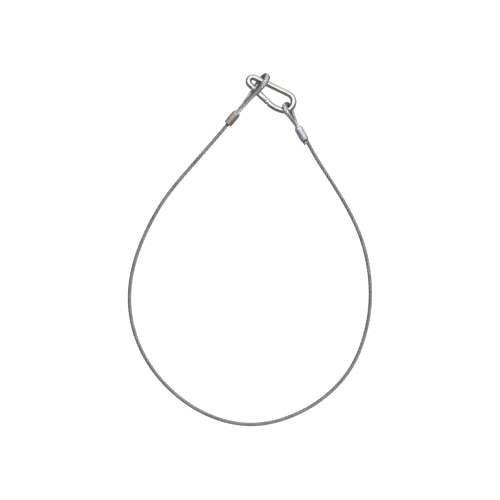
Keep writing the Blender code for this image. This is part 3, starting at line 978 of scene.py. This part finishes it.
    def _tail(self) -> None:
        """The short cut end beside the live rope."""
        sizes = self.sizes
        turn = self.plan.mouth_turn - self.plan.turn
        side = (sizes.leg_offset * math.cos(turn), sizes.leg_offset * math.sin(turn))
        path = self.place.world([(sizes.tail_depth, *side), (-sizes.tail_length, *side)])
        piece = RopeLay(sizes.rope_radius).whole("rope_tail_laid", path, mouths=(True, False))
        # the cut end wears the strand painted lighter than the free run: painted light
        finish_piece(piece, "sling", self.wardrobe, "strand_painted_lighter", "rope_tail")


@dataclass
class FreeRope:
    """The rope's free run on the floor, laid up from six strands and a core.

    Attributes:
        left, right: the eyes it runs between.
        sizes: the rope's sizes.
        wardrobe: where its finish comes from.
    """

    left: ThimbleEye
    right: ThimbleEye
    sizes: SlingSizes
    wardrobe: Wardrobe

    def _mouth(self, eye: ThimbleEye) -> tuple[Array, Array]:
        """Where the live rope leaves a ferrule.

        Args:
            eye: the ferrule's eye.

        Returns:
            The point and the level direction away from the eye.
        """
        turn = eye.plan.mouth_turn - eye.plan.turn
        offset = self.sizes.leg_offset
        point = eye.place.world((0.0, -offset * math.cos(turn), -offset * math.sin(turn)))[0]
        away = unit(-eye.place.along * (1.0, 1.0, 0.0))
        point[2] = max(point[2], self.sizes.rope_height)
        return point + away * self.sizes.mouth_gap, away

    def centreline(self) -> Array:
        """The rope's centreline, with points an even step apart."""
        start, _ = self._mouth(self.left)
        end, _ = self._mouth(self.right)
        shift = np.array([*self.sizes.middle, 0.0])
        floor = [np.array([x * MM, y * MM, self.sizes.rope_height]) - shift for x, y in ROUTE_MM]
        curve = smooth_curve(np.array([start, *floor, end]))
        curve[:, 2] = np.maximum(curve[:, 2], self.sizes.rope_height)
        reach = self.sizes.mouth_gap + self.sizes.free_depth
        inside = curve[0] - unit(curve[1] - curve[0]) * reach, curve[-1] + unit(curve[-1] - curve[-2]) * reach
        return evenly(np.vstack([inside[0], curve, inside[1]]), RopeLay.step)

    def build(self) -> None:
        path = self.centreline()
        lay = RopeLay(self.sizes.rope_radius)
        # both ends of the free run take painted shade in the ferrule mouths
        mouths = (True, True)
        strands = [lay.strand(f"rope_strand_{k + 1}", path, k, mouths) for k in range(lay.strands)]
        core = lay.strand("rope_core_strand", path, None, mouths)
        for strand in [*strands, core]:
            finish_piece(strand, "sling", self.wardrobe, "galvanised_strand", "wire_rope")
        start, _ = self._mouth(self.left)


@dataclass
class SnapHook:
    """The spring snap hook: its bent wire, gate, rivet, latch pin, plunger and spring.

    Attributes:
        wardrobe: where its finishes come from.

    The other fields are its places and sizes. Those along the gate start from the rivet's axis.
    """

    wardrobe: Wardrobe
    corner: tuple[float, float, float] = (-21.5 * MM, 31.4 * MM, 11.7 * MM)
    middle: tuple[float, float] = (-0.23 * MM, -1.39 * MM)
    heading: float = math.radians(-26.3)
    dip: float = math.radians(1.0)
    wire_radius: float = 3.2 * MM
    small_end: tuple[float, float] = (7.65 * MM, -0.3 * MM)
    small_radius: float = 4.6 * MM
    wide_end: tuple[float, float] = (47.4 * MM, -4.55 * MM)
    wide_radius: float = 9.3 * MM
    nose_arc_radius: float = 31.25 * MM
    nose_arc_start: float = math.radians(-75.0)
    gate_slope: float = math.radians(-18.0)
    rivet_from_small_end: float = 7.5 * MM
    gate_radius: float = 3.4 * MM
    gate_half_width: float = 3.3 * MM
    gate_tip: float = 19.4 * MM
    nose_face: float = 19.8 * MM
    tang_end: float = 3.0 * MM
    tang_half_width: float = 2.2 * MM
    tang_half_thickness: float = 1.25 * MM
    tang_root: float = -3.8 * MM
    fork_half_slot: float = 1.6 * MM
    fork_floor: float = 5.2 * MM
    bore_radius: float = 1.5 * MM
    bore_floor: float = 12.2 * MM
    nose_slot_floor: float = 13.4 * MM
    rivet_radius: float = 1.2 * MM
    pin_radius: float = 0.8 * MM
    pin_place: float = 16.6 * MM
    tab_start: float = 14.3 * MM
    tab_half_width: float = 2.1 * MM
    tab_half_thickness: float = 1.15 * MM
    tang_edge: float = 0.6 * MM
    gate_edge: float = 0.5 * MM
    slack: float = 0.3 * MM
    running_gap: float = 0.08 * MM
    plunger_end: float = 7.0 * MM
    plunger_radius: float = 1.42 * MM
    coil_wire: float = 0.18 * MM
    coil_radius: float = 1.15 * MM
    coil_turns: int = 5
    place: Place = field(init=False)
    gate_place: Place = field(init=False)

    def __post_init__(self) -> None:
        """Works out the hook's frame and the gate's, and checks them against the gate's joint."""
        turned = Matrix.Rotation(self.heading, 3, "Z") @ Matrix.Rotation(self.dip, 3, "Y")
        axes = np.array(turned).T
        origin = np.array(self.corner) - np.array([*self.middle, 0.0])
        self.place = Place(origin, axes[0], axes[1], axes[2])
        x, y = self._rivet_point()
        self.gate_place = self.place.inner(x, y, self.gate_slope)
        hinge = next(joint for joint in frame["joints"] if joint["name"] == "gate_hinge")
        miss = np.linalg.norm(self.gate_place.origin - np.array(hinge["pos_m"]))
        LOG.info("gate's rivet is %.3f mm from its joint", miss / MM)

    def _gate_way(self) -> Array:
        """The way from the rivet to the nose, in the hook's plane."""
        return np.array([math.cos(self.gate_slope), math.sin(self.gate_slope)])

    def _leaves_small_end(self) -> Array:
        """Where the straight under the gate leaves the small end's arc."""
        turn = self.gate_slope - math.pi / 2
        return np.array(self.small_end) + self.small_radius * np.array([math.cos(turn), math.sin(turn)])

    def _rivet_point(self) -> Array:
        """The rivet's place in the hook's plane."""
        return self._leaves_small_end() + self.rivet_from_small_end * self._gate_way()

    def centreline(self) -> Array:
        """The wire's centreline in the hook's plane, from its nose to its tang."""
        turn = self.gate_slope - math.pi / 2
        rivet = self._rivet_point()
        bulge = self.wide_radius - self.nose_arc_radius
        start = self.nose_arc_start
        nose_middle = np.array(self.wide_end) + bulge * np.array([math.cos(start), math.sin(start)])
        step = 0.45 * MM
        return np.vstack([
            rivet + self._gate_way() * self.nose_face,
            arc(nose_middle, self.nose_arc_radius, turn, start, 2 * step),
            arc(self.wide_end, self.wide_radius, start, math.pi / 2, step)[1:],
            arc(self.small_end, self.small_radius, math.pi / 2, 2 * math.pi + turn, step),
            rivet + self._gate_way() * self.tang_root,
        ])

    def build(self) -> None:
        """Builds the hook's pieces."""
        self._wire()
        self._gate()
        self._rivet()
        self._latch_pin()
        self._plunger()
        self._spring()

    def _wire(self) -> None:
        """The bent wire, with its flat tang and its notched nose."""
        flat = self.centreline()
        points = self.place.world(np.column_stack([flat, np.zeros(len(flat))]))
        piece = wire("hook_wire", points, self.wire_radius, 10)
        overlap = 1.5 * MM
        edge, root = self.tang_edge, self.tang_root - overlap
        width, end = self.tang_half_width, self.tang_end
        tang = (
            (root, -width), (end - edge, -width), (end, -width + edge),
            (end, width - edge), (end - edge, width), (root, width),
        )
        combine(piece, plate("tang", self.gate_place, tang, self.tang_half_thickness), "UNION")
        slack = self.pin_radius + self.slack
        angles = np.linspace(0.0, -math.pi, 13)
        notch = [(self.pin_place + slack * math.cos(a), slack * math.sin(a)) for a in angles]
        far, wide = self.nose_face + overlap, self.tab_half_width
        tab = [
            (self.tab_start, -wide), (far, -wide), (far, wide), (self.pin_place + slack, wide), *notch,
            (self.pin_place - slack, wide), (self.tab_start, wide),
        ]
        combine(piece, plate("tab", self.gate_place, tab, self.tab_half_thickness), "UNION")
        past, radius = 4 * MM, self.rivet_radius + self.running_gap
        combine(piece, rod("hole", self.gate_place, (0, 0, -past), (0, 0, past), radius), "DIFFERENCE")
        soften(piece, 0.18 * MM, 2, 50.0)
        finish_piece(piece, "hook", self.wardrobe, "polished_zinc_hook", "hook_body")

    def _gate_outline(self) -> list[tuple[float, float]]:
        """The gate seen from above: round about the rivet, with a chamfered tip."""
        edge, half, tip = self.gate_edge, self.gate_half_width, self.gate_tip
        angles = np.linspace(math.pi / 2, 3 * math.pi / 2, 33)
        round_end = [(half * math.cos(a), half * math.sin(a)) for a in angles]
        return round_end + [(tip - edge, -half), (tip, -half + edge), (tip, half - edge), (tip - edge, half)]

    def _gate(self) -> None:
        """The gate: a rod with a fork at each end and a blind bore."""
        place, wide = self.gate_place, 5 * MM
        piece = rod("gate_rod", place, (-4 * MM, 0, 0), (self.gate_tip + 2 * MM, 0, 0), self.gate_radius, 64)
        combine(piece, plate("outline", place, self._gate_outline(), wide), "INTERSECT")
        slot = self.fork_half_slot
        cuts = {"fork": (-wide, self.fork_floor), "nose_slot": (self.nose_slot_floor, self.gate_tip + wide)}
        for name, (start, end) in cuts.items():
            combine(piece, block(name, place, (start, -wide, -slot), (end, wide, slot)), "DIFFERENCE")
        combine(piece, rod("bore", place, (0, 0, 0), (self.bore_floor, 0, 0), self.bore_radius), "DIFFERENCE")
        for x, radius in ((0.0, self.rivet_radius), (self.pin_place, self.pin_radius)):
            hole = rod("hole", place, (x, 0, -wide), (x, 0, wide), radius + self.running_gap, 32)
            combine(piece, hole, "DIFFERENCE")
        soften(piece, 0.16 * MM, 2, 40.0)
        finish_piece(piece, "gate", self.wardrobe, "polished_zinc_gate", "gate")

    def _peened(self, name: str, x: float, radius: float, half: float) -> Object:
        """A pin across the gate, with domed ends.

        Args:
            name: the pin's name.
            x: its place along the gate.
            radius: its radius.
            half: half its length.

        Returns:
            The pin.
        """
        piece = rod(name, self.gate_place, (x, 0, -half), (x, 0, half), radius, 40)
        apply_modifier(
            piece, "BEVEL", width=0.55 * radius, segments=5, limit_method="ANGLE",
            angle_limit=math.radians(60.0),
        )
        smooth(piece, 60.0)
        return piece

    def _rivet(self) -> None:
        """The rivet that the gate turns on."""
        piece = self._peened("rivet", 0.0, self.rivet_radius, self.gate_radius + 0.12 * MM)
        finish_piece(piece, "gate", self.wardrobe, "plain_pin_steel", "gate_rivet")

    def _latch_pin(self) -> None:
        """The pin that drops into the nose's notch."""
        piece = self._peened("nose_pin", self.pin_place, self.pin_radius, self.gate_radius + 0.04 * MM)
        finish_piece(piece, "gate", self.wardrobe, "plain_pin_steel", "latch_pin")

    def _plunger(self) -> None:
        """The plunger: a plain rod that the spring sits on."""
        start, end = self.tang_end + self.slack, self.plunger_end
        piece = rod("plunger", self.gate_place, (start, 0, 0), (end, 0, 0), self.plunger_radius, 40)
        soften(piece, 0.25 * MM, 3, 50.0)
        finish_piece(piece, "plunger", self.wardrobe, "plain_pin_steel", "gate_plunger")

    def _spring(self) -> None:
        """The coil spring between the plunger and the bore's floor."""
        radius, coil, points = self.coil_wire, self.coil_radius, 32
        start, end = self.plunger_end + radius + self.slack, self.bore_floor - radius - self.slack
        count = np.arange(self.coil_turns * points + 1)
        angle = 2 * math.pi * count / points
        along = start + (end - start) * count / count[-1]
        line = np.column_stack([along, coil * np.cos(angle), coil * np.sin(angle)])
        piece = wire("coil", self.gate_place.world(line), radius, 3)
        smooth(piece)
        finish_piece(piece, "gate", self.wardrobe, "oiled_spring_wire", "gate_spring")


def grid_piece(name: str, rows: Array) -> Object:
    """An open sheet from a grid primitive whose points are put where they belong.

    Args:
        name: the piece's name.
        rows: its points, as rows by columns by three.

    Returns:
        The sheet.
    """
    count, across, _ = rows.shape
    deselect()
    bpy.ops.mesh.primitive_grid_add(x_subdivisions=across - 1, y_subdivisions=count - 1, size=1.0)
    piece = bpy.context.object
    piece.name = name
    piece.data.vertices.foreach_set("co", rows.reshape(-1).astype(np.float32))
    piece.data.update()
    return piece


def finish_piece(piece: Object, body: str, wardrobe: Wardrobe, finish: str, node: str) -> None:
    """Dresses a piece, hangs it on its CAD body and hides the CAD node that it stands for.

    Args:
        piece: the piece.
        body: the CAD body that it rides on.
        wardrobe: where its finish comes from.
        finish: the finish's name.
        node: the CAD node that it stands for.
    """
    wardrobe.dress(piece, finish)
    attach(piece, body)
    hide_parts(node)
    LOG.info("%s: %d faces on %s", piece.name, len(piece.data.polygons), body)


# ---- Studio ----


@dataclass(frozen=True)
class SoftBox:
    """A rectangular lamp.

    Attributes:
        name: its name.
        place: where it stands.
        target: the point that it faces.
        size: its width and height.
        power: its power in watts.
    """

    name: str
    place: tuple[float, float, float]
    target: tuple[float, float, float]
    size: tuple[float, float]
    power: float

    def build(self) -> None:
        """Makes the lamp."""
        lamp = bpy.data.lights.new(self.name, "AREA")
        lamp.shape = "RECTANGLE"
        lamp.size, lamp.size_y = self.size
        lamp.energy = self.power
        stand = to_scene(self.name, lamp)
        stand.location = self.place
        stand.rotation_mode = "QUATERNION"
        stand.rotation_quaternion = (Vector(self.target) - Vector(self.place)).to_track_quat("-Z", "Y")


@dataclass(frozen=True)
class Studio:
    """Camera straight overhead, pale floor and soft lamps.

    Attributes:
        centre: the point of the floor in the middle of the view.
        view_width: how much of the floor the view takes in.
        lens: the camera's focal length in millimetres.
        lamps: the lamps.
        sensor: the camera's sensor width in millimetres.
        bright_way: the way to the room's bright side.
        dark_level, bright_level: the room's brightness on its two sides.
        change: between which cosines from bright_way it changes.
        floor_size, floor_grey, floor_glow: the floor's size, colour and own light.
    """

    centre: tuple[float, float] = (-17.57 * MM, -149.21 * MM)
    view_width: float = 532 * MM
    lens: float = 150.0
    sensor: float = 36.0
    bright_way: tuple[float, float, float] = (0.26, 0.82, 0.51)
    dark_level: float = 0.28
    bright_level: float = 1.45
    change: tuple[float, float] = (0.05, 0.95)
    floor_size: float = 8.0
    floor_grey: float = 0.3
    floor_glow: float = 0.9
    lamps: tuple[SoftBox, ...] = (
        SoftBox("overhead_strip", (0.0, 0.35, 2.5), (0.0, -0.05, 0.0), (4.4, 0.7), 31.0),
    )

    def camera(self) -> None:
        """Makes the camera."""
        data = bpy.data.cameras.new("overhead_camera")
        data.lens = self.lens
        data.sensor_width = self.sensor
        stand = to_scene("overhead_camera", data)
        stand.location = (*self.centre, self.view_width * self.lens / data.sensor_width)
        bpy.context.scene.camera = stand

    def surroundings(self) -> None:
        """Makes the floor, the lamps and the world."""
        deselect()
        bpy.ops.mesh.primitive_plane_add(size=self.floor_size, location=(0.0, 0.0, -0.02 * MM))
        floor = bpy.context.object
        floor.name = "pale_floor"
        paper = bpy.data.materials.new("pale_paper")
        paper.use_nodes = True
        shader = paper.node_tree.nodes["Principled BSDF"]
        set_inputs(shader, {
            "Base Color": (*[self.floor_grey] * 3, 1.0), "Roughness": 0.9, "Specular IOR Level": 0.0,
            "Emission Color": (1.0, 1.0, 1.0, 1.0), "Emission Strength": self.floor_glow,
        })
        floor.data.materials.append(paper)
        floor.visible_glossy = False
        floor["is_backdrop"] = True
        for lamp in self.lamps:
            lamp.build()
        sky = bpy.data.worlds.new("grey_room")
        sky.use_nodes = True
        self._shade_sky(sky)
        bpy.context.scene.world = sky
        bpy.context.scene.view_settings.view_transform = "Standard"

    def _shade_sky(self, sky: bpy.types.World) -> None:
        """Makes the room bright on one side and dim on the other, with a soft change between."""
        nodes, links = sky.node_tree.nodes, sky.node_tree.links
        way = nodes.new("ShaderNodeTexCoord")
        facing = nodes.new("ShaderNodeVectorMath")
        facing.operation = "DOT_PRODUCT"
        facing.inputs[1].default_value = self.bright_way
        links.new(way.outputs["Generated"], facing.inputs[0])
        level = nodes.new("ShaderNodeMapRange")
        level.interpolation_type = "SMOOTHSTEP"
        start, end = self.change
        set_inputs(level, {
            "From Min": start, "From Max": end, "To Min": self.dark_level, "To Max": self.bright_level,
        })
        links.new(facing.outputs["Value"], level.inputs["Value"])
        links.new(level.outputs["Result"], nodes["Background"].inputs["Strength"])
        set_inputs(nodes["Background"], {"Color": (1.0, 1.0, 1.0, 1.0)})


def write_sizes() -> None:
    """Writes the CAD box and the visual model's box side by side."""
    boxes = {"cad": [list(corner) for corner in CAD_BOX], "visual": [list(corner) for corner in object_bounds()]}
    for name, corners in boxes.items():
        low, high = ([round(value / MM, 2) for value in corner] for corner in corners)
        LOG.info("%s box mm %s to %s", name, low, high)


def main() -> None:
    """Builds the camera, the ropes, the metal pieces and the surroundings, in that order."""
    logging.basicConfig(level=logging.INFO, format="%(name)s: %(message)s")
    studio = Studio()
    studio.camera()
    sizes, wardrobe = SlingSizes(), Wardrobe()
    left = ThimbleEye(LEFT_EYE, sizes, wardrobe, "pressed_alloy_warm")
    right = ThimbleEye(RIGHT_EYE, sizes, wardrobe, "pressed_alloy_cool", has_tail=True)
    FreeRope(left, right, sizes, wardrobe).build()
    for eye in (left, right):
        eye.build()
    SnapHook(wardrobe).build()
    studio.surroundings()
    write_sizes()


if __name__ == "__main__":
    main()
